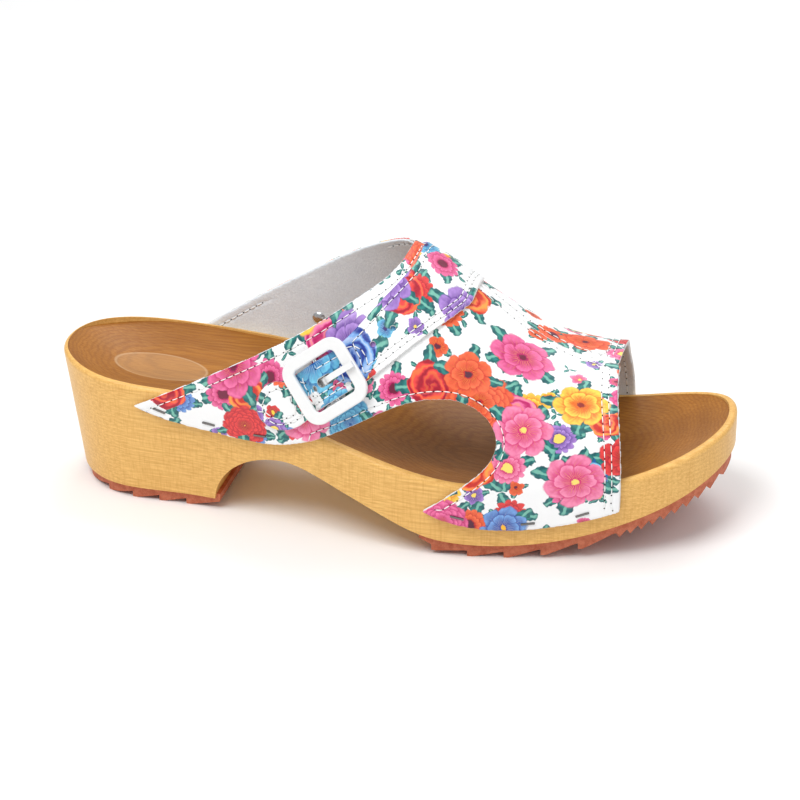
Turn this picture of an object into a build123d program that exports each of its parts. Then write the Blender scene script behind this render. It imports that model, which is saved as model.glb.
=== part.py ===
"""Open-toe wooden clog with a printed leather upper, an instep strap and a centre-bar buckle.

Right shoe. Millimetres. X runs from the heel to the toe, +Y is the inner (big toe) side,
Z is up from the ground. The origin is on the ground under the middle of the shoe.
Lengths in the tables below are counted from the back of the heel.
"""

import os
from bisect import bisect_right
from math import hypot

from build123d import *

os.makedirs("parts", exist_ok=True)

# ---------------------------------------------------------------- driving dimensions
sole_length = 250.0
half_length = sole_length / 2
block_top = 60.0
centring = (-0.7, 1.9, 0)  # brings the finished shoe's bounding box over the origin

# plan outline of the footbed rim: distance from the heel, side (minus is the outer side)
rim_outline = [
    (0, 4), (5, -17), (20, -30), (50, -33.5), (84, -37), (119, -43.5), (150, -46.5), (178, -43),
    (203, -37.5), (223, -30), (239, -18.5), (248.5, -3), (250, 12), (245, 28), (228, 40),
    (200, 43), (172, 40.5), (140, 34), (105, 29), (70, 29.5), (40, 31), (19, 27), (6, 18),
]
heel_middle = 3.5  # side position of the heel's own middle line
heel_side_taper = 4.5  # how far the heel block draws in at the ground, each side
heel_back_taper = 8.0
taper_end = 115.0  # forward of this the wall is upright

# height of the rim and of the wood's underside
rim_line = [
    (-4, 51.2), (12, 50.3), (25, 49), (45, 47.5), (80, 45.3), (100, 41.8), (120, 36.8), (140, 31.8),
    (160, 28.4), (180, 27.6), (200, 28.2), (212, 29.8), (225, 33), (240, 38), (256, 44.5),
]
heel_wood_base = 5.0
heel_breast = 66.0
under_line = [
    (66, 5), (68.5, 13), (74.5, 20), (82, 24.4), (89, 26.4), (95, 26.9), (101, 26), (109, 23.4),
    (118, 19.8), (129, 15.2), (140, 10.4), (150, 7.2), (162, 5.7), (174, 5.6), (186, 6.6),
    (198, 8.7), (210, 11.8), (222, 15.7), (234, 20.4), (245, 26), (256, 34),
]
rim_rounding = 1.6

rim_width = 2.9  # flat rim left round the hollow

# hollow of the footbed: distance from the heel, outer edge, inner edge, rim height, depth;
# it runs on past both ends of the sole, and the rim cuts it to length
hollow_sections = [
    (-3, -16, 22, 51.4, 0.5), (8, -19.5, 23, 50.5, 2.8), (16, -25.5, 26.5, 49.8, 5.6),
    (30, -29.8, 28.8, 48.6, 7.4),
    (55, -31, 28.5, 46.8, 7.2), (80, -33.5, 27, 45.3, 5.6), (105, -38, 27, 40.7, 4.2),
    (130, -42.5, 29.5, 34.2, 4.0), (155, -43.7, 34.5, 29, 4.6), (180, -40, 39, 27.6, 5.0),
    (205, -34.5, 40.5, 28.8, 4.8), (225, -26.5, 38.5, 33, 4.0), (238, -18, 33.5, 37.4, 2.7),
    (246, -11, 28.5, 40.3, 1.5), (255, -8, 26, 43.5, 0.6),
]

hollow_rise = 1.3  # the hollow's arcs run on past the rim by this much

# upper: distance from the heel, outer wall, inner wall, rim height, height over the instep
arch_sections = [
    (28, -32.2, 30.2, 48.6, 132), (55, -33.7, 30.6, 46.9, 125), (80, -36.5, 29, 45.3, 117),
    (105, -41, 29, 40.7, 109), (130, -45.3, 32, 34.2, 99.5), (155, -46.3, 37.1, 29, 85),
    (180, -42.7, 41.5, 27.6, 69.5), (200, -38.4, 43, 28.2, 64.3), (222, -30.5, 42, 32, 61.5),
]
crest_side = 3.0
wall_foot = 6.0  # the arch forms run down to here, below every leather edge
lining_gap = 0.15
lining_thickness = 0.8
leather_thickness = 1.2
strap_lift = 0.15
strap_thickness = 1.4
leather_outside = lining_gap + lining_thickness + leather_thickness

# leather edges seen from the side: distance from the heel, height
outer_topline = [
    (36.8, 40.3), (55.6, 50.3), (81, 64.6), (94, 72.3), (104.7, 79), (115.7, 86.2), (122.5, 90.3),
    (128.5, 94), (132, 97.5), (133, 103),
]
inner_topline = [
    (36.8, 40.3), (53, 51.6), (75, 66.2), (88.5, 74.8), (101.5, 82.9), (112.1, 88.8), (120.3, 92.6),
    (127, 95.4), (131.3, 97.4), (133, 103),
]
wood_edge = [
    (36.8, 40.3), (49.6, 36.2), (65.3, 34.1), (80.5, 33.2), (92.3, 34), (100.5, 36.3), (107.6, 39.2),
]
cut_out = [
    (107.6, 39.2), (116, 44), (125, 49.4), (132.5, 53.8), (140.5, 57.2), (149.1, 58.9), (157, 58.4),
    (164.5, 55.4), (169.8, 50.8), (172.2, 45.5), (171.3, 40), (167.8, 35), (161.5, 29.2), (154.3, 23.5),
    (147.3, 18.4),
]
outer_vamp = [
    (147.3, 18.4), (155.4, 15.2), (164.3, 13.3), (177.6, 12.6), (190, 13.8), (203.6, 16.5), (215.4, 19.8),
]
inner_vamp = [
    (147.3, 18.4), (155.4, 15.2), (164.3, 13.3), (177.6, 12.8), (190, 14.2), (200, 16.4), (209, 19.2),
]
outer_front = [(215.4, 19.8), (215.5, 30), (214.5, 43), (212.2, 53.6), (209.8, 62), (209.4, 78)]
inner_front = [(209, 19.2), (208.6, 30), (207.8, 42), (207.4, 50), (208.6, 60), (209.4, 78)]
seam_back, seam_front = (128.0, 11.5), (216.0, -7.5)  # where the two leather halves meet, in plan
seam_gap = 0.1

# instep strap
strap_split = 0.4  # side position where the strap's two halves join, clear of the crest line
strap_rear_edge = [
    (136.2, 96), (132.4, 92.6), (127.4, 87.8), (121.5, 81.2), (115, 74.6), (108.2, 69), (96, 59.4),
]
strap_tip = [(96, 59.4), (85.6, 50.8), (86.2, 45), (92, 41.2), (97.2, 41.8), (105.4, 47.8)]
strap_front_edge = [
    (105.4, 47.8), (117.4, 57.2), (126.5, 64.2), (134.5, 70.8), (142, 76.4), (149.5, 80.6), (156.8, 83.2),
]
inner_strap_rear = [(136.2, 96), (131, 91.9), (124, 86), (114, 78.6), (101, 70), (90, 62.8)]
inner_strap_tip = [(90, 62.8), (82.2, 56.6), (83.4, 49.8), (90, 46.4), (98.5, 50.2)]
inner_strap_front = [(98.5, 50.2), (112, 58.6), (127, 67.6), (140, 75.8), (149.5, 80.6), (156.8, 83.2)]
strap_hole = 2.0
strap_hole_places = [(133.6, 81), (127.4, 76.2), (108.6, 59.8), (101.8, 54.6)]

# buckle, in its own plane on the outer side of the upper
buckle_place = (112.3, 62.7)
strap_slope = (0.79, 0.61)
frame_length, frame_width, frame_corner = 26.5, 25.5, 6.0
window_length, window_width, window_corner = 17.5, 16.8, 1.8
frame_low, frame_high = 2.5, 4.6
bar_height = 1.9
bar_radius = 0.8
bar_length = 22.4
lug_length, lug_low = 5.0, 0.95
fit_gap = 0.05
chape_width = 13.5
chape_thickness = 0.7
chape_tail = 6.6
prong_width = 2.2
prong_thickness = 1.3
prong_slot = 3.3
prong_path = [(0.5, 3.05), (1.5, 4.3), (3.3, 5.65), (7, 5.8), (10.5, 5.75), (13.1, 5.62)]
hump_path = [
    (-12, 0.15), (-9.2, 0.7), (-6, 2.1), (-3, 3.75), (0, 4.3), (3, 3.75), (6, 2.05), (9.2, 0.6), (12, 0),
]
hump_thickness = 1.2
hump_reach = 10.6  # the flat part of the strap stops this far each side of the bar
prong_slot_length = 6.4
buckle_strap_width = 15.0

# treads
tread_base = 3.5
tooth_depth = 2.2
breast_lip = 6.4  # the heel rubber turns up the breast to this height
heel_tooth_pitch = 10.5
toe_tooth_pitch = 3.6

# fixings
staple_places = [(47, 40), (66, 37.5), (86, 36.6), (160, 17.4), (184.5, 15.9), (203, 19.6)]
staple_crown, staple_wire = 5.0, 0.7
inner_rivet_place = (90.5, 54.4)
rivet_post = 1.5


# ---------------------------------------------------------------- helpers
def shift(points):
    """Heel-based lengths to the part's own X."""
    return [(x - half_length, y) for x, y in points]


def level(table, x):
    """Height of a side-view line at a distance from the heel."""
    i = min(max(bisect_right([p[0] for p in table], x), 1), len(table) - 1)
    (x0, z0), (x1, z1) = table[i - 1], table[i]
    return z0 + (z1 - z0) * (x - x0) / (x1 - x0)


def inset(outline, width):
    """Closed plan outline moved inwards at each of its points."""
    moved = []
    for i, (x, y) in enumerate(outline):
        (x0, y0), (x1, y1) = outline[i - 1], outline[(i + 1) % len(outline)]
        run = hypot(x1 - x0, y1 - y0)
        moved.append((x - width * (y1 - y0) / run, y + width * (x1 - x0) / run))
    return moved


def drawn_in(x, y):
    """Ground-level partner of a rim outline point: the heel block narrows downwards."""
    side = heel_side_taper * min(max((taper_end - x) / 55, 0), 1)
    back = heel_back_taper * max(1 - x / 60, 0)
    return (x + back, heel_middle + (y - heel_middle) * (1 - side / 33))


def wall_draw(x, y, z):
    """Side position of the wood's wall at height z."""
    return y + (drawn_in(x, y)[1] - y) * (block_top - z) / block_top


def section_plane(x):
    return Plane(origin=(x - half_length, 0, 0), x_dir=(0, 1, 0), z_dir=(1, 0, 0))


def arch_form(offset):
    """Solid arch over the foot whose skin stands `offset` outside the wood's wall."""
    with BuildPart() as form:
        for x, outer, inner, rim, crest in arch_sections:
            height = crest - (leather_outside - offset) - rim
            outer_rim = wall_draw(x, outer, rim) - offset
            inner_rim = wall_draw(x, inner, rim) + offset
            outer_foot = wall_draw(x, outer, wall_foot) - offset
            inner_foot = wall_draw(x, inner, wall_foot) + offset
            with BuildSketch(section_plane(x)):
                with BuildLine():
                    Line((outer_foot, wall_foot), (outer_rim, rim))
                    EllipticalCenterArc((crest_side, rim), crest_side - outer_rim, height, start_angle=90)
                    EllipticalCenterArc((crest_side, rim), inner_rim - crest_side, height, start_angle=0)
                    Line((inner_rim, rim), (inner_foot, wall_foot))
                    Line((inner_foot, wall_foot), (outer_foot, wall_foot))
                make_face()
        loft()
    return form.part


def on_form(form, x, z, side):
    """Point and outward direction on an arch form, looked up straight from the side."""
    axis = Axis((x - half_length, side * 90, z), (0, -side, 0))
    point, normal = min(form.find_intersection_points(axis), key=lambda hit: abs(hit[0].Y - side * 90))
    return point, normal if normal.Y * side > 0 else -normal


# ---------------------------------------------------------------- wooden sole
with BuildPart() as footbed_hollow:
    for x, outer, inner, rim, depth in hollow_sections:
        with BuildSketch(section_plane(x)):
            spread = hollow_rise * (inner - outer) / (4 * depth)
            left, right, brim = outer - spread, inner + spread, rim + hollow_rise
            with BuildLine():
                ThreePointArc((left, brim), ((outer + inner) / 2, rim - depth), (right, brim))
                Polyline((right, brim), (right, brim + 14), (left, brim + 14), (left, brim))
            make_face()
    loft()
    with BuildSketch(Plane.XY):
        with BuildLine():
            Spline(*shift(inset(rim_outline, rim_width)), periodic=True)
        make_face()
    extrude(amount=2 * block_top, mode=Mode.INTERSECT)

with BuildPart() as sole_block:
    with BuildSketch(Plane.XY):
        with BuildLine():
            Spline(*shift([drawn_in(x, y) for x, y in rim_outline]), periodic=True)
        make_face()
    with BuildSketch(Plane.XY.offset(block_top)):
        with BuildLine():
            Spline(*shift(rim_outline), periodic=True)
        make_face()
    loft(ruled=True)

with BuildPart() as wooden_sole:
    add(sole_block.part)
    with BuildSketch(Plane.XZ):
        with BuildLine():
            under = Spline(*shift(under_line))
            rim = Spline(*shift(rim_line))
            Polyline(rim @ 0, (-half_length - 4, heel_wood_base), under @ 0)
            Line(under @ 1, rim @ 1)
        make_face()
    extrude(amount=70, both=True, mode=Mode.INTERSECT)
    top_face = wooden_sole.faces().filter_by(lambda f: f.normal_at().Z > 0.5).sort_by(SortBy.AREA)[-1]
    fillet(top_face.edges(), radius=rim_rounding)
    add(footbed_hollow.part, mode=Mode.SUBTRACT)

tread_block = scale(sole_block.part, by=(0.99, 0.955, 1))

# ---------------------------------------------------------------- treads
def tread_part(outline):
    with BuildPart() as tread:
        with BuildSketch(Plane.XZ):
            with BuildLine():
                Polyline(*shift(outline), close=True)
            make_face()
        extrude(amount=70, both=True)
        add(tread_block, mode=Mode.INTERSECT)
        add(wooden_sole.part, mode=Mode.SUBTRACT)
    return tread.part.solids().sort_by(SortBy.VOLUME)[-1]


heel_teeth = []
x = 12.0
while x < heel_breast - 3:
    heel_teeth += [(x, tooth_depth), (x, 0), (x + 1.6, 0)]
    x += heel_tooth_pitch
heel_outline = [(2, 12), (2, 2.6), (5, tooth_depth), *heel_teeth, (heel_breast + 1.2, 3)]
heel_outline += [(heel_breast + 1.7, breast_lip), (heel_breast - 6, breast_lip)]
heel_tread = tread_part(heel_outline)

toe_teeth = []
x = 150.0
while x < 214:
    gap = level(under_line, x) - tread_base - tooth_depth
    toe_teeth += [(x, gap + tooth_depth), (x, max(gap, 0)), (x + 1.6, max(gap, 0))]
    toe_teeth += [(x + 11.6, level(under_line, x + 11.6) - tread_base)]
    x += 12.8
while x < 249:
    gap = level(under_line, x) - tread_base
    toe_teeth += [(x, gap), (x + 1.2, gap - 1.7)]
    x += toe_tooth_pitch
toe_outline = [(145.5, 22), (145.5, level(under_line, 145.5) - 2.6), *toe_teeth]
toe_outline += [(253, 28), (253, 36), (240, 36), (232, 28), (210, 18), (190, 14), (165, 14)]
forefoot_tread = tread_part(toe_outline)

# ---------------------------------------------------------------- leather and lining
lining_inner = arch_form(lining_gap)
lining_outer = arch_form(lining_gap + lining_thickness)
leather_outer = arch_form(leather_outside)
strap_inner = arch_form(leather_outside + strap_lift)
strap_outer = arch_form(leather_outside + strap_lift + strap_thickness)


def half_plan(side, gap):
    """Plan region of one leather half, up to the seam."""
    (x0, y0), (x1, y1) = seam_back, seam_front
    lean = (y1 - y0) / (x1 - x0)
    ends = [(x, y0 + lean * (x - x0) + side * gap) for x in (20, 225)]
    return shift([*ends, (225, side * 80), (20, side * 80)])


def panel(topline, vamp, front, side, outer, inner):
    """One leather half, cut to its pattern."""
    with BuildPart() as half:
        add(outer)
        add(inner, mode=Mode.SUBTRACT)
        with BuildSketch(Plane.XZ):
            with BuildLine():
                Spline(*shift(topline))
                Spline(*shift(wood_edge))
                Spline(*shift(cut_out))
                Spline(*shift(vamp))
                Spline(*shift(front))
                Polyline(*shift([front[-1], (front[-1][0], 112), (topline[-1][0], 112), topline[-1]]))
            make_face()
        extrude(amount=80, both=True, mode=Mode.INTERSECT)
        with BuildSketch(Plane.XY):
            Polygon(*half_plan(side, seam_gap / 2), align=None)
        extrude(amount=140, mode=Mode.INTERSECT)
    return half.part.solids().sort_by(SortBy.VOLUME)[-1]


leather_halves = {
    "lateral_panel": [outer_topline, outer_vamp, outer_front, -1, leather_outer, lining_outer],
    "lateral_lining": [outer_topline, outer_vamp, outer_front, -1, lining_outer, lining_inner],
    "medial_panel": [inner_topline, inner_vamp, inner_front, 1, leather_outer, lining_outer],
    "medial_lining": [inner_topline, inner_vamp, inner_front, 1, lining_outer, lining_inner],
}
halves = {name: panel(*shape) for name, shape in leather_halves.items()}

# ---------------------------------------------------------------- buckle plane
place, outward = on_form(leather_outer, *buckle_place, -1)
along = Vector(strap_slope[0], 0, strap_slope[1])
along = (along - outward * along.dot(outward)).normalized()
buckle_plane = Plane(origin=place, x_dir=along, z_dir=outward)
across = buckle_plane.y_dir
side_plane = Plane(origin=place, x_dir=along, z_dir=-across)  # its upward axis is `outward`


def strap_band(edges, side):
    """Part of the strap that lies on the leather, on one side of the crest."""
    with BuildPart() as band:
        add(strap_outer)
        add(strap_inner, mode=Mode.SUBTRACT)
        with BuildSketch(Plane.XZ):
            with BuildLine():
                for points in edges:
                    Spline(*shift(points))
                Polyline(*shift([edges[-1][-1], (156.8, 108), (136.2, 108), edges[0][0]]))
            make_face()
        extrude(amount=80, both=True, mode=Mode.INTERSECT)
        with BuildSketch(Plane.XY):
            with Locations((30, strap_split + side * 50)):
                Rectangle(200, 100)
        extrude(amount=140, mode=Mode.INTERSECT)
    return band.part


# the strap: over the instep, then up over the buckle's bar and down to its tip
with BuildPart() as instep_strap:
    add(strap_band([strap_rear_edge, strap_tip, strap_front_edge], -1))
    with BuildSketch(buckle_plane):
        Rectangle(2 * hump_reach, 2 * buckle_strap_width)
    extrude(amount=8, both=True, mode=Mode.SUBTRACT)
    with BuildSketch(side_plane):
        with BuildLine():
            Spline(*hump_path)
        trace(line_width=hump_thickness)
    extrude(amount=buckle_strap_width / 2, both=True)
    add(strap_band([inner_strap_rear, inner_strap_tip, inner_strap_front], 1))
    with BuildSketch(buckle_plane):
        with Locations((0.4, 0)):
            SlotOverall(prong_slot_length, prong_slot)
    extrude(amount=8, both=True, mode=Mode.SUBTRACT)
    for x, z in strap_hole_places:
        point, normal = on_form(strap_outer, x, z, -1)
        with Locations(Plane(origin=point, z_dir=normal)):
            Cylinder(strap_hole / 2, 6, mode=Mode.SUBTRACT)

# ---------------------------------------------------------------- buckle
bar_middle = place + outward * bar_height
bar_plane = Plane(origin=bar_middle, x_dir=along, z_dir=across)

with BuildPart() as buckle_bar:
    with Locations(bar_plane):
        Cylinder(bar_radius, bar_length)

with BuildPart() as buckle_frame:
    with BuildSketch(buckle_plane.offset(frame_low)):
        RectangleRounded(frame_length, frame_width, frame_corner)
        RectangleRounded(window_length, window_width, window_corner, mode=Mode.SUBTRACT)
    extrude(amount=frame_high - frame_low)
    fillet(buckle_frame.edges(), radius=0.7)
    with BuildSketch(buckle_plane.offset(lug_low)):
        for side in (-1, 1):
            with Locations((0, side * (window_width / 2 + bar_length / 2) / 2)):
                RectangleRounded(lug_length, (bar_length - window_width) / 2, 0.8)
    extrude(amount=frame_high - lug_low - 1)
    add(buckle_bar.part, mode=Mode.SUBTRACT)

# ring round the bar and a tongue that comes up through the strap
with BuildPart() as buckle_prong:
    with Locations(bar_plane):
        Cylinder(bar_radius + fit_gap + 0.65, prong_width + 0.4)
    with BuildSketch(side_plane):
        with BuildLine():
            Spline(*prong_path)
        trace(line_width=prong_thickness)
    extrude(amount=prong_width / 2, both=True)
    with Locations(bar_plane):
        Cylinder(bar_radius + fit_gap, prong_width + 2, mode=Mode.SUBTRACT)

# leather loop round the bar with its tail riveted to the upper
chape_ring = bar_radius + fit_gap + chape_thickness
with BuildPart() as buckle_chape:
    with Locations(bar_plane):
        Cylinder(chape_ring, chape_width)
    with BuildSketch(side_plane):
        with Locations((-chape_tail / 2, bar_height - chape_ring + chape_thickness / 2)):
            Rectangle(chape_tail, chape_thickness)
    extrude(amount=chape_width / 2, both=True)
    with Locations(bar_plane):
        Cylinder(bar_radius + fit_gap, chape_width + 2, mode=Mode.SUBTRACT)
    with BuildSketch(buckle_plane):
        with Locations((0.6, 0)):
            Rectangle(4.6, prong_slot)
    extrude(amount=8, mode=Mode.SUBTRACT)
    for half in halves.values():
        add(half, mode=Mode.SUBTRACT)


# ---------------------------------------------------------------- fixings
def pin_hole(plane):
    """Straight hole for a rivet's post."""
    with BuildPart() as hole:
        with Locations(plane):
            Cylinder(rivet_post / 2, 12)
    return hole.part


def rivet(plane, low, high, head, cap, cap_height):
    """Post with a flat cap at `high` and a domed head inside the shoe at `low`."""
    with BuildPart() as part:
        with Locations(plane.offset((low + high) / 2)):
            Cylinder(rivet_post / 2, high - low)
        with Locations(plane.offset(high + cap_height / 2)):
            Cylinder(cap / 2, cap_height)
        with BuildSketch(Plane(origin=plane.origin, x_dir=plane.x_dir, z_dir=plane.y_dir)):
            with BuildLine():
                ThreePointArc((0, 1 - low), (head * 0.35, 0.6 - low), (head / 2, -low))
                Polyline((head / 2, -low), (0, -low), (0, 1 - low))
            make_face()
        revolve(axis=Axis(plane.origin, plane.z_dir))
    return part.part


def staples(side):
    """Wire staples across the lower edge of one leather half."""
    with BuildPart() as row:
        for x, z in staple_places:
            point, normal = on_form(leather_outer, x, z, side)
            edge = inner_vamp if x > 140 else wood_edge
            run = Vector(6, 0, level(edge, x + 3) - level(edge, x - 3))
            run = (run - normal * run.dot(normal)).normalized()
            seat = Plane(origin=point, x_dir=run, z_dir=normal)
            with BuildSketch(seat.offset(-0.15)):
                RectangleRounded(staple_crown, staple_wire, 0.3)
            extrude(amount=0.5)
            with BuildSketch(seat.offset(-1.9)):
                with GridLocations(staple_crown - staple_wire, 1, 2, 1):
                    Rectangle(staple_wire, staple_wire * 0.7)
            extrude(amount=1.9)
    return row.part


chape_seat = Plane(origin=place - along * 4.0, x_dir=along, z_dir=outward)
inner_place, inner_outward = on_form(leather_outer, *inner_rivet_place, 1)
inner_seat = Plane(origin=inner_place, x_dir=(1, 0, 0), z_dir=inner_outward)
chape_top = bar_height - chape_ring + chape_thickness
strap_top_here = strap_lift + strap_thickness
fixing_solids = {
    "chape_rivet": rivet(chape_seat, -2.05, chape_top, 4.4, 3.2, 0.3),
    "strap_rivet": rivet(inner_seat, -2.05, strap_top_here, 5.2, 6.0, 0.6),
    "lateral_staples": staples(-1),
    "medial_staples": staples(1),
}
fixing_holes = [
    pin_hole(chape_seat),
    pin_hole(inner_seat),
    fixing_solids["lateral_staples"],
    fixing_solids["medial_staples"],
]


def cut_from(solid, cutters):
    with BuildPart() as kept:
        add(solid)
        for cutter in cutters:
            add(cutter, mode=Mode.SUBTRACT)
    return kept.part


halves = {name: cut_from(half, [*fixing_holes, wooden_sole.part]) for name, half in halves.items()}
chape_done = cut_from(buckle_chape.part, fixing_holes[:1])
strap_done = cut_from(instep_strap.part, [fixing_holes[1], chape_done])
outer_layers = [halves["lateral_panel"], halves["lateral_lining"]]
inner_layers = [halves["medial_panel"], halves["medial_lining"]]
chape_rivet = cut_from(fixing_solids["chape_rivet"], [chape_done, *outer_layers])
strap_rivet = cut_from(fixing_solids["strap_rivet"], [strap_done, *inner_layers])

# ---------------------------------------------------------------- files
shoe = {
    "wooden_sole": wooden_sole.part,
    "heel_tread": heel_tread,
    "forefoot_tread": forefoot_tread,
    **halves,
    "instep_strap": strap_done,
    "buckle_frame": buckle_frame.part,
    "buckle_bar": buckle_bar.part,
    "buckle_prong": buckle_prong.part,
    "buckle_chape": chape_done,
    "chape_rivet": chape_rivet,
    "strap_rivet": strap_rivet,
    "lateral_staples": cut_from(fixing_solids["lateral_staples"], [wooden_sole.part]),
    "medial_staples": cut_from(fixing_solids["medial_staples"], [wooden_sole.part]),
}
for name, solid in shoe.items():
    placed = solid.moved(Location(centring))
    placed.label = name
    export_step(placed, f"parts/{name}.step")
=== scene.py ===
"""Open-toe wooden clog: how it looks.

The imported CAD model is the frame. The cut leather pieces are replaced by dense copies with soft edges, sewn
with real stitches. The wooden sole and the hard parts keep their CAD shape. Lengths on the object are
millimetres times MM, and those inside the materials are plain millimetres.
"""

import math

import bmesh
import bpy
import numpy as np
from mathutils import Matrix, Vector
from mathutils.bvhtree import BVHTree
from mathutils.kdtree import KDTree


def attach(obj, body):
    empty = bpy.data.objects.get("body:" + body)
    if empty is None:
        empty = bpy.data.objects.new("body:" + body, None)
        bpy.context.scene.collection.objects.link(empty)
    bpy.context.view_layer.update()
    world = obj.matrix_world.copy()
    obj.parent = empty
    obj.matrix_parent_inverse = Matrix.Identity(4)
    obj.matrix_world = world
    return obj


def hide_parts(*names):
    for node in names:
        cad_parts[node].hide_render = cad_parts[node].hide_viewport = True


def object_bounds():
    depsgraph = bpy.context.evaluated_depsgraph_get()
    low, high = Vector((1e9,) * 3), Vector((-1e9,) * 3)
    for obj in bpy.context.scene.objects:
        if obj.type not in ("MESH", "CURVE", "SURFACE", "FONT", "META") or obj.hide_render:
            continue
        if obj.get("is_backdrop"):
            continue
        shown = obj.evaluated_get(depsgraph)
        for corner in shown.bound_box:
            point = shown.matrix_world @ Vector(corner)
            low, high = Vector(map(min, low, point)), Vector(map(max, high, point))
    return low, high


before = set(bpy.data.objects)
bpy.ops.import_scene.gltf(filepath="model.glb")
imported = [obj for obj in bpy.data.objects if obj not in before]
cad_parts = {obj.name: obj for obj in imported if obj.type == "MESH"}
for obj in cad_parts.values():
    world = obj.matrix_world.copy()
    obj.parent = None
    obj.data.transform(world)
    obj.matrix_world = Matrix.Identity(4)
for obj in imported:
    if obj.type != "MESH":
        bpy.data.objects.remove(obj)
cad_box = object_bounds()

MM = 0.001
scene = bpy.context.scene

# the foot's own axis: leather faces away from it
axis_side = 4.9 * MM
axis_height = 30 * MM
wrap_radius = 50.0  # millimetres of pattern for each radian round the foot

# dense copies of the leather
leather_voxel = 0.5 * MM
strap_voxel = 0.42 * MM
flat_limit = 0.93  # a point whose normal agrees this well with the CAD face goes back onto it
skin_limit = 0.7  # a normal that faces away from the foot's axis this much is on the outer skin

# cut edges that the rows of stitches follow
sharp_angle = math.radians(50)
shortest_run = 30 * MM
sample_step = 0.5 * MM

# rows of stitches
stitch_inset = 3.1 * MM
row_gap = 2.4 * MM
strap_insets = (2.4 * MM, 4.4 * MM)
stitch_pitch = 3.1 * MM
stitch_length = 2.3 * MM
stitch_radius = 0.2 * MM
stitch_rise = 0.16 * MM
stitch_sink = 0.1 * MM
# near-black tubes of painted shade just under the surface at the needle holes
hole_shade_radius = 0.26 * MM
hole_shade_depths = (0.3 * MM, 0.1 * MM)
groove_depth = 0.22 * MM
groove_width = 0.6 * MM

# the oval mark in the heel cup, in millimetres
mark_centre = (-88.7, 2.3)
mark_radii = (18.5, 10.5)

# where the leather is stapled and not sewn: a limit on the distance from the heel's back, and a height below
# which it holds, in millimetres
heel_back = 125.7  # how far the heel's back lies behind the origin
heel_staples = (108, 41.5)
toe_staples = (146, 22.5)
open_toe = 80  # the edge of the open toe lies further ahead of the origin than this

# the camera, fitted to the outline of the photographed shoe
camera_azimuth = math.radians(13.2)
camera_elevation = math.radians(25.3)
camera_distance = 989.7
camera_shift = (3.16, 11.0)  # millimetres to the right and up
camera_target = (-0.7, 1.9, 25)
camera_lens = 121.2
sensor_width = 36

world_strength = 0.45
floor_half = 3


# ---------------------------------------------------------------- camera, light and floor
def add_camera():
    """The photograph's viewing angle: from the outer side, a little towards the toe, looking down."""
    level = math.cos(camera_elevation)
    aside, ahead = math.sin(camera_azimuth), -math.cos(camera_azimuth)
    back = Vector((aside * level, ahead * level, math.sin(camera_elevation)))
    right = (-back).cross(Vector((0, 0, 1))).normalized()
    up = right.cross(-back)
    offset = camera_shift[0] * right + camera_shift[1] * up + camera_distance * back
    place = Vector(camera_target) * MM + offset * MM
    data = bpy.data.cameras.new("camera")
    data.sensor_width = sensor_width
    data.lens = camera_lens
    camera = bpy.data.objects.new("camera", data)
    camera.matrix_world = Matrix.Translation(place) @ Matrix((right, up, back)).transposed().to_4x4()
    scene.collection.objects.link(camera)
    scene.camera = camera


def add_light(name, place, size, power):
    """A square soft box that faces the shoe."""
    data = bpy.data.lights.new(name, "AREA")
    data.size = size
    data.energy = power
    lamp = bpy.data.objects.new(name, data)
    lamp.location = place
    lamp.rotation_euler = Vector(place).to_track_quat("Z", "Y").to_euler()
    scene.collection.objects.link(lamp)


def add_studio():
    """Plain white surroundings, three soft boxes and a pale floor."""
    world = bpy.data.worlds.new("studio")
    world.use_nodes = True
    world.node_tree.nodes["Background"].inputs["Color"].default_value = (1, 1, 1, 1)
    world.node_tree.nodes["Background"].inputs["Strength"].default_value = world_strength
    scene.world = world
    scene.view_settings.view_transform = "Standard"
    add_light("key", (-0.3, -0.55, 1.15), 0.7, 11.5)
    add_light("fill", (0.8, -0.4, 0.8), 0.6, 1.8)
    add_light("back", (0.1, 0.7, 1.1), 0.8, 6.5)
    mesh = bpy.data.meshes.new("floor")
    corners = [(x * floor_half, y * floor_half, 0) for x, y in ((-1, -1), (1, -1), (1, 1), (-1, 1))]
    mesh.from_pydata(corners, [], [(0, 1, 2, 3)])
    floor = bpy.data.objects.new("floor", mesh)
    scene.collection.objects.link(floor)
    mesh.materials.append(plain_floor())
    floor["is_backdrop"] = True


# ---------------------------------------------------------------- node trees written as sums
class Field:
    """A value inside a node tree that can be added, multiplied and so on."""

    def __init__(self, tree, socket):
        self.tree = tree
        self.socket = socket

    def math(self, operation, *others):
        node = self.tree.nodes.new("ShaderNodeMath")
        node.operation = operation
        for slot, value in zip(node.inputs, (self, *others)):
            wire(self.tree, value, slot)
        return Field(self.tree, node.outputs[0])

    def __add__(self, other):
        return self.math("ADD", other)

    def __sub__(self, other):
        return self.math("SUBTRACT", other)

    def __mul__(self, other):
        return self.math("MULTIPLY", other)

    def __truediv__(self, other):
        return self.math("DIVIDE", other)

    def step(self, low, high):
        """Smoothly 0 at low and 1 at high."""
        node = self.tree.nodes.new("ShaderNodeMapRange")
        node.interpolation_type = "SMOOTHSTEP"
        for slot, value in zip(node.inputs, (self, low, high)):
            wire(self.tree, value, slot)
        return Field(self.tree, node.outputs[0])

    def wave(self):
        """A sine between 0 and 1."""
        return self.math("SINE") * 0.5 + 0.5

    def ramp(self, colours):
        """One flat colour after another, spread evenly from 0 to 1."""
        node = self.tree.nodes.new("ShaderNodeValToRGB")
        node.color_ramp.interpolation = "CONSTANT"
        while len(node.color_ramp.elements) < len(colours):
            node.color_ramp.elements.new(0.5)
        for i, colour in enumerate(colours):
            node.color_ramp.elements[i].position = i / len(colours)
            node.color_ramp.elements[i].color = linear(colour)
        wire(self.tree, self, node.inputs[0])
        return Field(self.tree, node.outputs[0])


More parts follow.
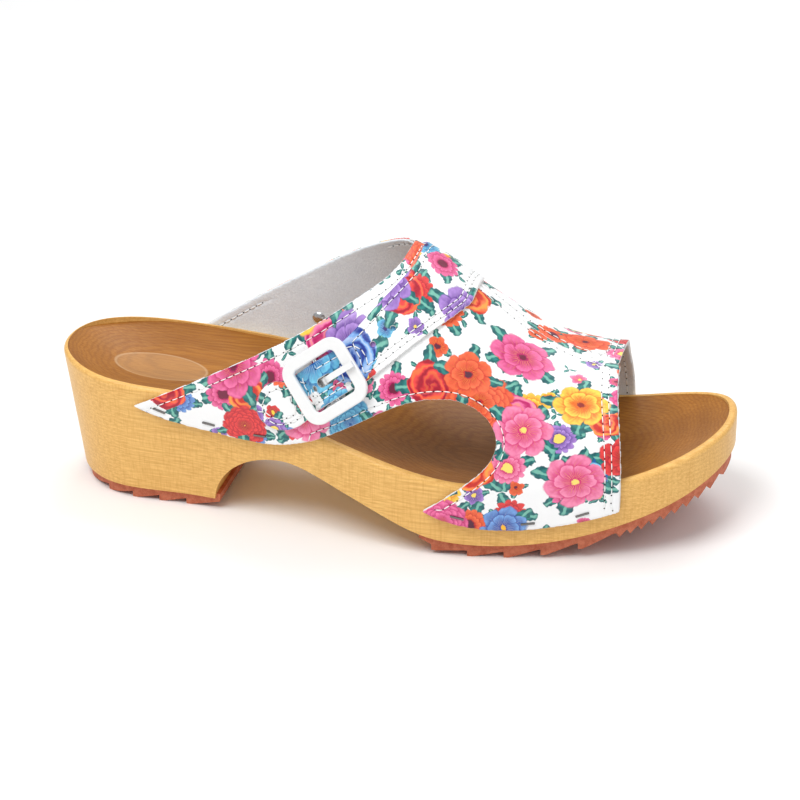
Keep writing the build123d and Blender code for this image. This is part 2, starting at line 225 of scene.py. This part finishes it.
def linear(colour):
    """An 8-bit screen colour as a linear one."""
    return tuple((c / 255) ** 2.2 for c in colour) + (1,)


def wire(tree, value, slot):
    """Connect a field to the slot, or set a plain value on it."""
    if isinstance(value, Field):
        tree.links.new(value.socket, slot)
    else:
        slot.default_value = value


def mix(share, first, second):
    """The first colour where the share is 0 and the second where it is 1."""
    node = share.tree.nodes.new("ShaderNodeMix")
    node.data_type = "RGBA"
    wire(share.tree, share, node.inputs["Factor"])
    wire(share.tree, first, node.inputs[6])
    wire(share.tree, second, node.inputs[7])
    return Field(share.tree, node.outputs[2])


def parts_of(vector):
    node = vector.tree.nodes.new("ShaderNodeSeparateXYZ")
    wire(vector.tree, vector, node.inputs[0])
    return [Field(vector.tree, out) for out in node.outputs]


def vector_of(x, y, z=0.0):
    node = x.tree.nodes.new("ShaderNodeCombineXYZ")
    for slot, value in zip(node.inputs, (x, y, z)):
        wire(x.tree, value, slot)
    return Field(x.tree, node.outputs[0])


def placed(vector, scale=(1, 1, 1), turn=0.0, move=(0, 0, 0)):
    node = vector.tree.nodes.new("ShaderNodeMapping")
    wire(vector.tree, vector, node.inputs["Vector"])
    node.inputs["Location"].default_value = move
    node.inputs["Rotation"].default_value = (0, 0, turn)
    node.inputs["Scale"].default_value = scale
    return Field(vector.tree, node.outputs[0])


def noise(vector, scale, detail=2.0, rough=0.5):
    node = vector.tree.nodes.new("ShaderNodeTexNoise")
    wire(vector.tree, vector, node.inputs["Vector"])
    node.inputs["Scale"].default_value = scale
    node.inputs["Detail"].default_value = detail
    node.inputs["Roughness"].default_value = rough
    return Field(vector.tree, node.outputs["Fac"])


def material(name, roughness=0.5, metallic=0.0, coat=0.0, sheen=0.0):
    """A new material, its node tree and its shader."""
    made = bpy.data.materials.new(name)
    made.use_nodes = True
    tree = made.node_tree
    shader = tree.nodes["Principled BSDF"]
    shader.inputs["Roughness"].default_value = roughness
    shader.inputs["Metallic"].default_value = metallic
    shader.inputs["Coat Weight"].default_value = coat
    shader.inputs["Coat Roughness"].default_value = 0.15
    shader.inputs["Sheen Weight"].default_value = sheen
    return made, tree, shader


def own_place(tree):
    """Place on the object, in millimetres."""
    node = tree.nodes.new("ShaderNodeTexCoord")
    return placed(Field(tree, node.outputs["Object"]), scale=(1000, 1000, 1000))


def attribute(tree, name, output="Vector"):
    node = tree.nodes.new("ShaderNodeAttribute")
    node.attribute_name = name
    return Field(tree, node.outputs[output])


def relief(shader, height, depth):
    """Surface relief from a height field; depth is in metres."""
    tree = height.tree
    node = tree.nodes.new("ShaderNodeBump")
    node.inputs["Distance"].default_value = depth
    wire(tree, height, node.inputs["Height"])
    tree.links.new(node.outputs["Normal"], shader.inputs["Normal"])


# ---------------------------------------------------------------- the floral print
# one column of each table is one kind of flower
deep_petals = [
    (164, 10, 44), (186, 16, 98), (222, 104, 8), (24, 54, 146), (198, 34, 24),
    (206, 30, 110), (86, 46, 136), (224, 122, 10), (8, 92, 160),
]
light_petals = [
    (240, 70, 66), (246, 120, 172), (255, 222, 84), (124, 172, 232), (252, 118, 70),
    (250, 150, 186), (182, 142, 220), (255, 210, 96), (118, 204, 234),
]
accents = [
    (255, 146, 62), (255, 186, 92), (226, 66, 30), (222, 232, 250), (255, 196, 62),
    (252, 200, 120), (234, 210, 250), (236, 90, 60), (214, 246, 252),
]
core_colours = [
    (250, 206, 60), (112, 18, 56), (140, 34, 26), (252, 184, 40), (84, 24, 52),
    (250, 220, 110), (250, 214, 100), (120, 40, 30), (54, 34, 100),
]


class Cells:
    """Scattered centres of one layer of the print, and where a point lies from its own centre."""

    def __init__(self, spot, spacing, turn, move, loose=0.55):
        tree = spot.tree
        field = placed(spot, turn=turn, move=move)
        node = tree.nodes.new("ShaderNodeTexVoronoi")
        node.voronoi_dimensions = "2D"
        node.inputs["Scale"].default_value = 1 / spacing
        node.inputs["Randomness"].default_value = loose
        wire(tree, field, node.inputs["Vector"])
        x, y, _ = parts_of(field)
        cx, cy, _ = parts_of(Field(tree, node.outputs["Position"]))
        self.luck, self.kind, self.bulk = parts_of(Field(tree, node.outputs["Color"]))
        dx, dy = x - cx, y - cy
        self.field = field
        self.angle = dy.math("ARCTAN2", dx) + self.kind * (2 * math.pi)
        self.reach = (dx * dx + dy * dy).math("SQRT")

    def size(self, length):
        """A length that differs from centre to centre."""
        return self.bulk * (length * 0.3) + length * 0.8

    def chosen(self, share):
        """1 round the centres that carry a flower."""
        return (self.luck * -1 + share).step(0, 0.001)


def lobes(angle, count, sharp):
    """1 along the middle of each petal or leaf and 0 between them."""
    return (angle * (count / 2)).math("COSINE").math("ABSOLUTE").math("POWER", sharp)


def bloom(below, cells, petals, radius, share, depth=0.28, core=0.2, spiral=0.0, rings=2):
    """Lay one layer of flowers over the colour below: each ring of petals is smaller and on top."""
    out = cells.reach / cells.size(radius)
    turned = cells.angle + out * spiral
    dark, light, accent = [cells.kind.ramp(colours) for colours in (deep_petals, light_petals, accents)]
    mottle = (noise(cells.field, 0.45, 3.0) - 0.5) * 0.9
    streak = (turned * (petals * 5.0) + mottle * 9).wave()
    petal = dark
    for ring in range(rings):
        lobe = lobes(turned + ring * math.pi / petals, petals, 0.55)
        tip = (lobe * depth + (1 - depth)) * (1 - 0.72 * ring / rings)
        reached = out / tip
        tone = mix(reached.step(0.2, 1.2) + mottle, dark, light)
        tone = mix(streak * reached.step(1.05, 0.35) * 0.7, tone, dark)
        tone = mix(streak.step(0.5, 1.0) * reached.step(0.9, 0.2) * 0.55, tone, accent)
        tone = mix(lobe.step(0.5, 0.08) * 0.75, tone, dark)
        shadow = reached.step(1.22, 1.0) * 0.6
        petal = mix(shadow, petal, dark) if ring else petal
        petal = mix(reached.step(1.03, 0.97), petal, tone)
        if ring == 0:
            mask = reached.step(1.04, 0.96) * cells.chosen(share)
            petal = mix(reached.step(0.9, 1.0) * 0.3, petal, dark)
    seeds = (noise(cells.field, 2.6, 2.0) - 0.5) * 0.14
    petal = mix((out + seeds).step(core + 0.05, core + 0.01), petal, dark)
    petal = mix((out + seeds).step(core, core - 0.05), petal, cells.kind.ramp(core_colours))
    return mix(mask, below, petal)


def leaves(below, cells, count, length, share):
    """Pointed leaves that reach out from behind the flowers."""
    out = cells.reach / cells.size(length)
    turned = cells.angle + 0.6
    blade = lobes(turned, count, 2.6)
    notch = (out * 42).math("SINE") * 0.03
    mask = (blade + notch - out).step(0, 0.05) * cells.chosen(share)
    rib = lobes(turned, count, 1.0).step(0.992, 0.999)
    veins = (out * 30 - lobes(turned, count, 1.0) * 26).wave()
    shade = noise(cells.field, 0.3, 2.0)
    green = mix(veins * 0.55 + shade * 0.4, linear((4, 70, 80)), linear((46, 142, 134)))
    green = mix(rib * 0.8, green, linear((128, 198, 178)))
    green = mix((blade - out).step(0.14, 0.0) * 0.6, green, linear((6, 58, 76)))
    return mix(mask, below, green)


def rose(below, cells, radius, share):
    """Round flowers with curled petals."""
    out = cells.reach / cells.size(radius)
    mottle = (noise(cells.field, 0.4, 3.0) - 0.5) * 2
    wave = (cells.angle * 5 + mottle).math("SINE") * 0.06 + 0.94
    mask = (wave - out).step(0, 0.05) * cells.chosen(share)
    sway = (cells.angle * 3 + out * 8).math("SINE") * 1.1
    curl = (out * 15 + cells.angle + sway + mottle).wave()
    dark, light, accent = [cells.kind.ramp(colours) for colours in (deep_petals, light_petals, accents)]
    petal = mix(curl.step(0.0, 0.75), dark, light)
    petal = mix(curl.step(0.75, 1.0) * 0.45, petal, accent)
    petal = mix(out.step(0.7, 0.1) * 0.55, petal, dark)
    return mix(mask, below, petal)


def printed_leather(name, turn, move):
    """White leather with a dense floral print; its raw edges and underside stay white."""
    made, tree, shader = material(name, roughness=0.38, coat=0.12)
    spot = placed(attribute(tree, "pattern"), turn=turn, move=move)
    x, y, _ = parts_of(spot)
    other_spot = placed(spot, move=(71, 33, 0))
    spot = vector_of(x + noise(spot, 0.32) * 2.2, y + noise(other_spot, 0.32) * 2.2)
    sprig = Cells(spot, 9.5, 0.9, (55, 21, 0), 0.8)
    small = Cells(spot, 12.5, 0.5, (3, 8, 0), 0.7)
    daisy = Cells(spot, 20, 1.1, (40, 13, 0), 0.6)
    round_ones = Cells(spot, 30, 0.2, (9, 70, 0), 0.6)
    peony = Cells(spot, 37, 0.35, (61, 5, 0), 0.6)
    large = Cells(spot, 28, 0.75, (151, 96, 0))
    colour = mix(noise(spot, 0.06), linear((246, 247, 247)), linear((238, 239, 240)))
    colour = leaves(colour, sprig, 3, 3.4, 0.35)
    colour = leaves(colour, small, 3, 5.2, 0.45)
    colour = bloom(colour, small, 5, 3.4, 0.55, core=0.24, rings=1)
    colour = leaves(colour, daisy, 3, 10.5, 0.75)
    colour = bloom(colour, daisy, 13, 6.6, 0.75, depth=0.2, core=0.34)
    colour = leaves(colour, round_ones, 4, 12.5, 0.7)
    colour = rose(colour, round_ones, 8.2, 0.7)
    colour = leaves(colour, peony, 5, 15, 0.6)
    colour = bloom(colour, peony, 11, 10.8, 0.6, depth=0.14, core=0.05, spiral=0.5, rings=5)
    colour = leaves(colour, large, 4, 15, 0.75)
    colour = bloom(colour, large, 6, 10.4, 0.75, core=0.15, spiral=0.5)
    skin = attribute(tree, "skin", "Fac")
    colour = mix(skin.step(0.35, 0.6), linear((232, 231, 228)), colour)
    wire(tree, colour, shader.inputs["Base Color"])
    place = own_place(tree)
    grain = noise(place, 1.9, 3.0, 0.6) * 0.6 + noise(place, 0.5, 2.0) * 0.8
    relief(shader, grain, 0.12 * MM)
    wire(tree, noise(place, 0.9, 3.0) * 0.22 + 0.28, shader.inputs["Roughness"])
    return made


# ---------------------------------------------------------------- the other materials
def varnished_wood():
    """Honey wood with horizontal layers; the hollowed footbed is browner, partly darker wood and partly
    painted shade inside the shoe.
    """
    made, tree, shader = material("varnished_wood", coat=0.04)
    shader.inputs["Specular IOR Level"].default_value = 0.25
    place = own_place(tree)
    x, y, z = parts_of(place)
    drift = noise(placed(place, scale=(0.014, 0.03, 0.03)), 1.0, 3.0)
    height = z + x * 0.045 + y * y * 0.0016 + drift * 9
    layers = (height * 3.9).wave()
    broad = (height * 1.1 + drift * 6).wave()
    along = noise(placed(place, scale=(0.05, 1.6, 1.9)), 1.0, 4.0, 0.65)
    rays = noise(placed(place, scale=(1.7, 1.7, 0.09)), 1.0, 3.0, 0.6)
    honey = mix(along.step(0.3, 0.72), linear((241, 194, 117)), linear((217, 166, 93)))
    honey = mix(layers * 0.16, honey, linear((194, 134, 60)))
    honey = mix(rays.step(0.42, 0.75) * 0.36, honey, linear((196, 138, 66)))
    fine = (height * 8.2 + along * 2.2).wave()
    # the footbed's colour: darker wood plus painted shade, darker all over than the honey walls to stand for
    # the shade inside the shoe
    footbed_brown_and_shade = mix(along.step(0.25, 0.75), linear((176, 118, 50)), linear((152, 94, 34)))
    footbed_brown_and_shade = mix(fine.step(0.3, 1.0) * 0.24, footbed_brown_and_shade, linear((110, 60, 20)))
    footbed_brown_and_shade = mix(broad * 0.16, footbed_brown_and_shade, linear((114, 66, 24)))
    cloud = noise(placed(place, scale=(0.02, 0.03, 0.03)), 1.0)
    footbed_brown_and_shade = mix(cloud.step(0.42, 0.7) * 0.3, footbed_brown_and_shade, linear((110, 64, 26)))
    footbed_brown_and_shade = stamped(footbed_brown_and_shade, x, y)
    colour = mix(attribute(tree, "footbed", "Fac"), honey, footbed_brown_and_shade)
    wire(tree, colour, shader.inputs["Base Color"])
    wire(tree, along * 0.2 + 0.3, shader.inputs["Roughness"])
    relief(shader, along * 0.5 + rays * 0.5, 0.07 * MM)
    return made


def stamped(below, x, y):
    """A plain oval mark in the heel cup, with no lettering."""
    across = (x - mark_centre[0]) / mark_radii[0]
    aside = (y - mark_centre[1]) / mark_radii[1]
    ring = (across * across + aside * aside).math("SQRT")
    marked = mix(ring.step(1.0, 0.93) * 0.2, below, linear((214, 180, 138)))
    line = ring.step(0.9, 0.93) * ring.step(0.98, 0.95)
    return mix(line * 0.22, marked, linear((226, 200, 164)))


def tread_rubber():
    """Matt brick-red rubber."""
    made, tree, shader = material("tread_rubber", roughness=0.75)
    place = own_place(tree)
    speck = noise(place, 0.35, 4.0, 0.7)
    colour = mix(speck.step(0.3, 0.7), linear((172, 88, 60)), linear((202, 118, 88)))
    wire(tree, colour, shader.inputs["Base Color"])
    relief(shader, noise(place, 1.2, 3.0), 0.15 * MM)
    return made


def grey_suede():
    """Pale grey suede with a fine nap and faint patches."""
    made, tree, shader = material("grey_suede", roughness=0.95, sheen=0.25)
    place = own_place(tree)
    nap = noise(place, 1.4, 4.0, 0.7)
    patch = noise(place, 0.07, 2.0)
    colour = mix(nap.step(0.25, 0.75), linear((221, 229, 237)), linear((242, 249, 254)))
    colour = mix(patch.step(0.35, 0.7) * 0.35, colour, linear((213, 221, 230)))
    wire(tree, colour, shader.inputs["Base Color"])
    relief(shader, nap, 0.25 * MM)
    return made


def speckled(name, dark, light, size, depth, **finish):
    """A plain finish with slight, fine variation."""
    made, tree, shader = material(name, **finish)
    place = own_place(tree)
    grain = noise(place, size, 3.0, 0.6)
    wire(tree, mix(grain, linear(dark), linear(light)), shader.inputs["Base Color"])
    relief(shader, grain, depth)
    return made


def plain_floor():
    return speckled("floor", (243, 243, 243), (247, 247, 247), 0.02, 0.01 * MM, roughness=0.8)


# ---------------------------------------------------------------- mesh tools
def outward(points):
    """Unit directions away from the foot's axis."""
    away = np.stack([np.zeros(len(points)), points[:, 1] - axis_side, points[:, 2] - axis_height], 1)
    return away / np.linalg.norm(away, axis=1, keepdims=True)


def read(collection, name, width, kind=float):
    """One row of numbers for each element of a mesh."""
    values = np.empty(len(collection) * width, np.float32 if kind is float else np.int32)
    collection.foreach_get(name, values)
    return values.reshape(-1, width).astype(kind)


def welded(node):
    """The CAD node as one closed bmesh."""
    solid = bmesh.new()
    solid.from_mesh(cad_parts[node].data)
    bmesh.ops.remove_doubles(solid, verts=solid.verts, dist=1e-6)
    return solid


def relaxed(points, edges, rounds):
    """Points drawn towards their neighbours' middle."""
    for _ in range(rounds):
        ends = np.concatenate([edges[:, 0], edges[:, 1]])
        others = np.concatenate([edges[:, 1], edges[:, 0]])
        count = np.bincount(ends, minlength=len(points))
        middle = np.stack([np.bincount(ends, points[others, k], len(points)) / count for k in range(3)], 1)
        points = 0.5 * points + 0.5 * middle
    return points


def dense_copy(name, solid, voxel):
    """A fine mesh of the solid: its faces stay in place and its cut edges become slightly round."""
    mesh = bpy.data.meshes.new(name)
    solid.to_mesh(mesh)
    piece = bpy.data.objects.new(name, mesh)
    scene.collection.objects.link(piece)
    grid = piece.modifiers.new("grid", "REMESH")
    grid.mode = "VOXEL"
    grid.voxel_size = voxel
    graph = bpy.context.evaluated_depsgraph_get()
    fine = bpy.data.meshes.new_from_object(piece.evaluated_get(graph))
    piece.modifiers.clear()
    piece.data = fine
    points = relaxed(read(fine.vertices, "co", 3), read(fine.edges, "vertices", 2, int), 3)
    write_points(fine, points)
    normals = read(fine.vertex_normals, "vector", 3)
    tree = BVHTree.FromBMesh(solid)
    for i, (point, normal) in enumerate(zip(points, normals)):
        place, facing, _, _ = tree.find_nearest(Vector(point))
        if facing.dot(Vector(normal)) > flat_limit:
            points[i] = place
    write_points(fine, relaxed(points, read(fine.edges, "vertices", 2, int), 1))
    fine.polygons.foreach_set("use_smooth", [True] * len(fine.polygons))
    return piece


def write_points(mesh, points):
    mesh.vertices.foreach_set("co", points.astype(np.float32).ravel())
    mesh.update()


def edge_samples(solid, facing, keep):
    """Points along the cut edges of the skin that faces out (1) or in (-1)."""
    sharp = []
    for edge in solid.edges:
        if len(edge.link_faces) != 2 or edge.calc_face_angle() < sharp_angle:
            continue
        middle = (edge.verts[0].co + edge.verts[1].co) / 2
        away = Vector(outward(np.array([middle]))[0]) * facing
        if max(face.normal.dot(away) for face in edge.link_faces) > 0.6:
            sharp.append(edge)
    samples = []
    for run in runs_of(sharp):
        if sum(edge.calc_length() for edge in run) < shortest_run:
            continue
        for edge in run:
            start, end = edge.verts[0].co, edge.verts[1].co
            steps = max(1, round(edge.calc_length() / sample_step))
            samples += [start.lerp(end, (k + 0.5) / steps) for k in range(steps)]
    return [point for point in samples if keep(point)]


def runs_of(edges):
    """Edges grouped by the vertices they share."""
    at = {}
    for edge in edges:
        for vert in edge.verts:
            at.setdefault(vert.index, []).append(edge)
    left = set(edges)
    while left:
        run, queue = [], [left.pop()]
        while queue:
            edge = queue.pop()
            run.append(edge)
            for vert in edge.verts:
                for other in at[vert.index]:
                    if other in left:
                        left.remove(other)
                        queue.append(other)
        yield run


def distance_field(points, samples):
    """How far each point is from its nearest sample."""
    tree = KDTree(len(samples))
    for i, sample in enumerate(samples):
        tree.insert(sample, i)
    tree.balance()
    return np.array([tree.find(point)[2] for point in points])


def level_lines(mesh, points, field, height, allowed):
    """Chains of points where the field crosses a height, on the allowed part of the mesh."""
    mesh.calc_loop_triangles()
    triangles = read(mesh.loop_triangles, "vertices", 3, int)
    over = field > height
    crossing = (over[triangles].sum(1) % 3 != 0) & allowed[triangles].all(1)
    places, links = {}, {}
    for triangle in triangles[crossing]:
        cut = []
        for a, b in ((0, 1), (1, 2), (2, 0)):
            i, j = sorted((triangle[a], triangle[b]))
            if over[i] != over[j]:
                share = (height - field[i]) / (field[j] - field[i])
                places[i, j] = points[i] + share * (points[j] - points[i])
                cut.append((i, j))
        links.setdefault(cut[0], []).append(cut[1])
        links.setdefault(cut[1], []).append(cut[0])
    lines, seen = [], set()
    starts = sorted(links, key=lambda key: (len(links[key]), key))
    for start in starts:
        chain, here = [], start
        while here is not None and here not in seen:
            seen.add(here)
            chain.append(places[here])
            here = next((key for key in links[here] if key not in seen), None)
        if len(chain) > 12:
            lines.append(np.array(chain))
    return lines


def evenly(line, pitch):
    """The line's points at an even pitch."""
    steps = np.concatenate([[0], np.cumsum(np.linalg.norm(np.diff(line, axis=0), axis=1))])
    marks = np.arange(0, steps[-1], pitch)
    return np.stack([np.interp(marks, steps, line[:, k]) for k in range(3)], 1)


def sew(name, lines, surface):
    """Thread stitches along the lines, and a near-black tube of painted shade at each needle hole that a
    stitch dips into.
    """
    stitches, hole_shades = ([], []), ([], [])
    for line in lines:
        marks = evenly(line, stitch_pitch)
        for start, following in zip(marks, marks[1:]):
            run = Vector(following - start)
            if run.length < 0.7 * stitch_pitch:
                continue
            run = run.normalized()
            _, normal, _, _ = surface.find_nearest(Vector(start + following) / 2)
            side = run.cross(normal).normalized()
            rings = []
            for share in (0, 0.12, 0.3, 0.5, 0.7, 0.88, 1):
                swell = math.sin(math.pi * (0.08 + 0.84 * share)) ** 0.5
                lift = stitch_rise * math.sin(math.pi * share) - stitch_sink
                middle = Vector(start) + run * (share * stitch_length) + normal * lift
                rings.append((middle, side, normal, stitch_radius * swell))
            add_tube(stitches, rings)
            # a near-black tube at each needle hole: painted shade in the hole
            middle = Vector(following) - run * (stitch_pitch - stitch_length) / 2
            add_tube(hole_shades, [(middle - normal * depth, side, run, hole_shade_radius) for depth in hole_shade_depths])
    for part, (verts, faces), finish in (("stitches", stitches, thread), ("hole_shades", hole_shades, needle_hole_shade)):
        mesh = bpy.data.meshes.new(f"{name}_{part}")
        mesh.from_pydata(verts, [], faces)
        mesh.polygons.foreach_set("use_smooth", [part == "stitches"] * len(mesh.polygons))
        mesh.materials.append(finish)
        piece = bpy.data.objects.new(f"{name}_{part}", mesh)
        scene.collection.objects.link(piece)
        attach(piece, "shoe")


def add_tube(shape, rings, sides=8):
    """Add a closed tube through rings of (middle, first axis, second axis, radius)."""
    verts, faces = shape
    base = len(verts)
    for middle, first, second, radius in rings:
        for turn in range(sides):
            angle = 2 * math.pi * turn / sides
            verts.append(middle + (first * math.cos(angle) + second * math.sin(angle)) * radius)
    for ring in range(len(rings) - 1):
        low = base + ring * sides
        for turn in range(sides):
            after = (turn + 1) % sides
            faces.append((low + turn, low + after, low + sides + after, low + sides + turn))
    last = base + (len(rings) - 1) * sides
    faces.append(tuple(base + turn for turn in reversed(range(sides))))
    faces.append(tuple(last + turn for turn in range(sides)))


def mark_skin(mesh):
    """Pattern coordinates round the foot, and which part of the mesh is the outer skin."""
    points, normals = read(mesh.vertices, "co", 3), read(mesh.vertex_normals, "vector", 3)
    around = np.arctan2(points[:, 1] - axis_side, points[:, 2] - axis_height)
    pattern = np.stack([points[:, 0] / MM, wrap_radius * around, np.zeros(len(points))], 1)
    kept = mesh.attributes.new("pattern", "FLOAT_VECTOR", "POINT")
    kept.data.foreach_set("vector", pattern.astype(np.float32).ravel())
    skin = (normals * outward(points)).sum(1)
    kept = mesh.attributes.new("skin", "FLOAT", "POINT")
    kept.data.foreach_set("value", skin.astype(np.float32))
    return skin


# ---------------------------------------------------------------- leather pieces
def leather_piece(node, name, voxel, finish, rows, facing=1):
    """Replace one cut leather node and sew its rows, each a stitch inset and a choice of edges."""
    solid = welded(node)
    piece = dense_copy(name, solid, voxel)
    mesh = piece.data
    skin = mark_skin(mesh) * facing
    points = read(mesh.vertices, "co", 3)
    normals = read(mesh.vertex_normals, "vector", 3)
    lines, groove = [], np.zeros(len(points))
    for inset, keep in rows:
        field = distance_field(points, edge_samples(solid, facing, keep))
        lines += level_lines(mesh, points, field, inset, skin > skin_limit)
        hollow = np.exp(-(((field - inset) / groove_width) ** 2))
        groove = np.maximum(groove, hollow * (skin > skin_limit))
    write_points(mesh, points - normals * (groove * groove_depth)[:, None])
    mesh.materials.append(finish)
    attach(piece, "shoe")
    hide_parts(node)
    sew(name, lines, BVHTree.FromBMesh(solid))


thread = speckled("sewing_thread", (236, 236, 234), (252, 252, 250), 3.0, 0.05 * MM, roughness=0.6)
# near-black finish of the needle-hole tubes: painted shade
needle_hole_shade = speckled("needle_hole_shade", (30, 28, 28), (54, 50, 50), 3.0, 0.02 * MM, roughness=0.9)
print_finish = printed_leather("printed_leather", 0.0, (0, 0, 0))
strap_finish = printed_leather("strap_leather", 0.75, (137, 58, 0))
suede = grey_suede()


def from_heel(point):
    """How far a point is from the heel's back and from the floor, in millimetres."""
    return point.x / MM + heel_back, point.z / MM


def everywhere(point):
    return True


def off_the_wood(point):
    """Edges that are sewn: not those stapled to the wood."""
    x, z = from_heel(point)
    at_heel = x < heel_staples[0] and z < heel_staples[1]
    at_toe = x > toe_staples[0] and z < toe_staples[1]
    return not (at_heel or at_toe)


def on_front(point):
    """The sewn edge at the open toe."""
    return point.x / MM > open_toe and off_the_wood(point)


def on_strap_front(point):
    """The strap's edge towards the toe, below a line that rises with the strap."""
    x, z = from_heel(point)
    return z < 54 + 0.86 * (x - 100)


sewn_rows = [(stitch_inset, off_the_wood)]
strap_rows = list(zip(strap_insets, (everywhere, on_strap_front)))
front_rows = [*sewn_rows, (stitch_inset + row_gap, on_front)]
leather_piece("lateral_panel", "outer_upper", leather_voxel, print_finish, front_rows)
leather_piece("medial_panel", "inner_upper", leather_voxel, print_finish, front_rows)
leather_piece("instep_strap", "strap", strap_voxel, strap_finish, strap_rows)
leather_piece("lateral_lining", "outer_lining", leather_voxel, suede, sewn_rows, -1)
leather_piece("medial_lining", "inner_lining", leather_voxel, suede, sewn_rows, -1)


# ---------------------------------------------------------------- wood and hard parts
def islands(mesh):
    """Which group of joined faces each vertex belongs to."""
    group = np.arange(len(mesh.vertices))
    edges = read(mesh.edges, "vertices", 2, int)
    while True:
        low = np.minimum(group[edges[:, 0]], group[edges[:, 1]])
        before = group.copy()
        np.minimum.at(group, edges[:, 0], low)
        np.minimum.at(group, edges[:, 1], low)
        group = group[group]
        if (group == before).all():
            return group


def wooden_sole():
    """The sole's own mesh, with the hollow of the footbed marked for its browner colour: partly darker wood
    and partly painted shade.
    """
    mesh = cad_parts["wooden_sole"].data.copy()
    group = islands(mesh)
    area, lift = {}, {}
    for face in mesh.polygons:
        key = group[face.vertices[0]]
        area[key] = area.get(key, 0) + face.area
        lift[key] = lift.get(key, 0) + face.area * face.normal.z
    facing_up = [key for key in area if lift[key] > 0.7 * area[key]]
    hollow = max(facing_up, key=lambda key: area[key])
    marked = (group == hollow).astype(np.float32)
    kept = mesh.attributes.new("footbed", "FLOAT", "POINT")
    kept.data.foreach_set("value", marked)
    mesh.materials.clear()
    mesh.materials.append(varnished_wood())
    piece = bpy.data.objects.new("clog_sole", mesh)
    scene.collection.objects.link(piece)
    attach(piece, "shoe")
    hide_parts("wooden_sole")


wooden_sole()
lacquer = speckled(
    "white_lacquer", (232, 232, 231), (240, 240, 240), 0.3, 0.02 * MM, roughness=0.22, coat=0.5
)
metal = speckled(
    "bright_metal", (190, 192, 196), (222, 224, 226), 1.5, 0.02 * MM, roughness=0.24, metallic=1.0
)
staple_wire = speckled(
    "staple_wire", (92, 90, 88), (136, 134, 132), 1.5, 0.02 * MM, roughness=0.35, metallic=1.0
)
plain_leather = speckled(
    "white_leather", (228, 226, 222), (244, 243, 240), 1.2, 0.1 * MM, roughness=0.6
)
finishes = {
    "heel_tread": tread_rubber(),
    "forefoot_tread": tread_rubber(),
    "buckle_frame": lacquer,
    "buckle_prong": lacquer,
    "buckle_bar": metal,
    "buckle_chape": plain_leather,
    "chape_rivet": metal,
    "strap_rivet": metal,
    "lateral_staples": staple_wire,
    "medial_staples": staple_wire,
}
for node, finish in finishes.items():
    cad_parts[node].data.materials.clear()
    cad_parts[node].data.materials.append(finish)

add_camera()
add_studio()

boxes = {"cad": cad_box, "visual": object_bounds()}
{name: [list(corner) for corner in box] for name, box in boxes.items()}
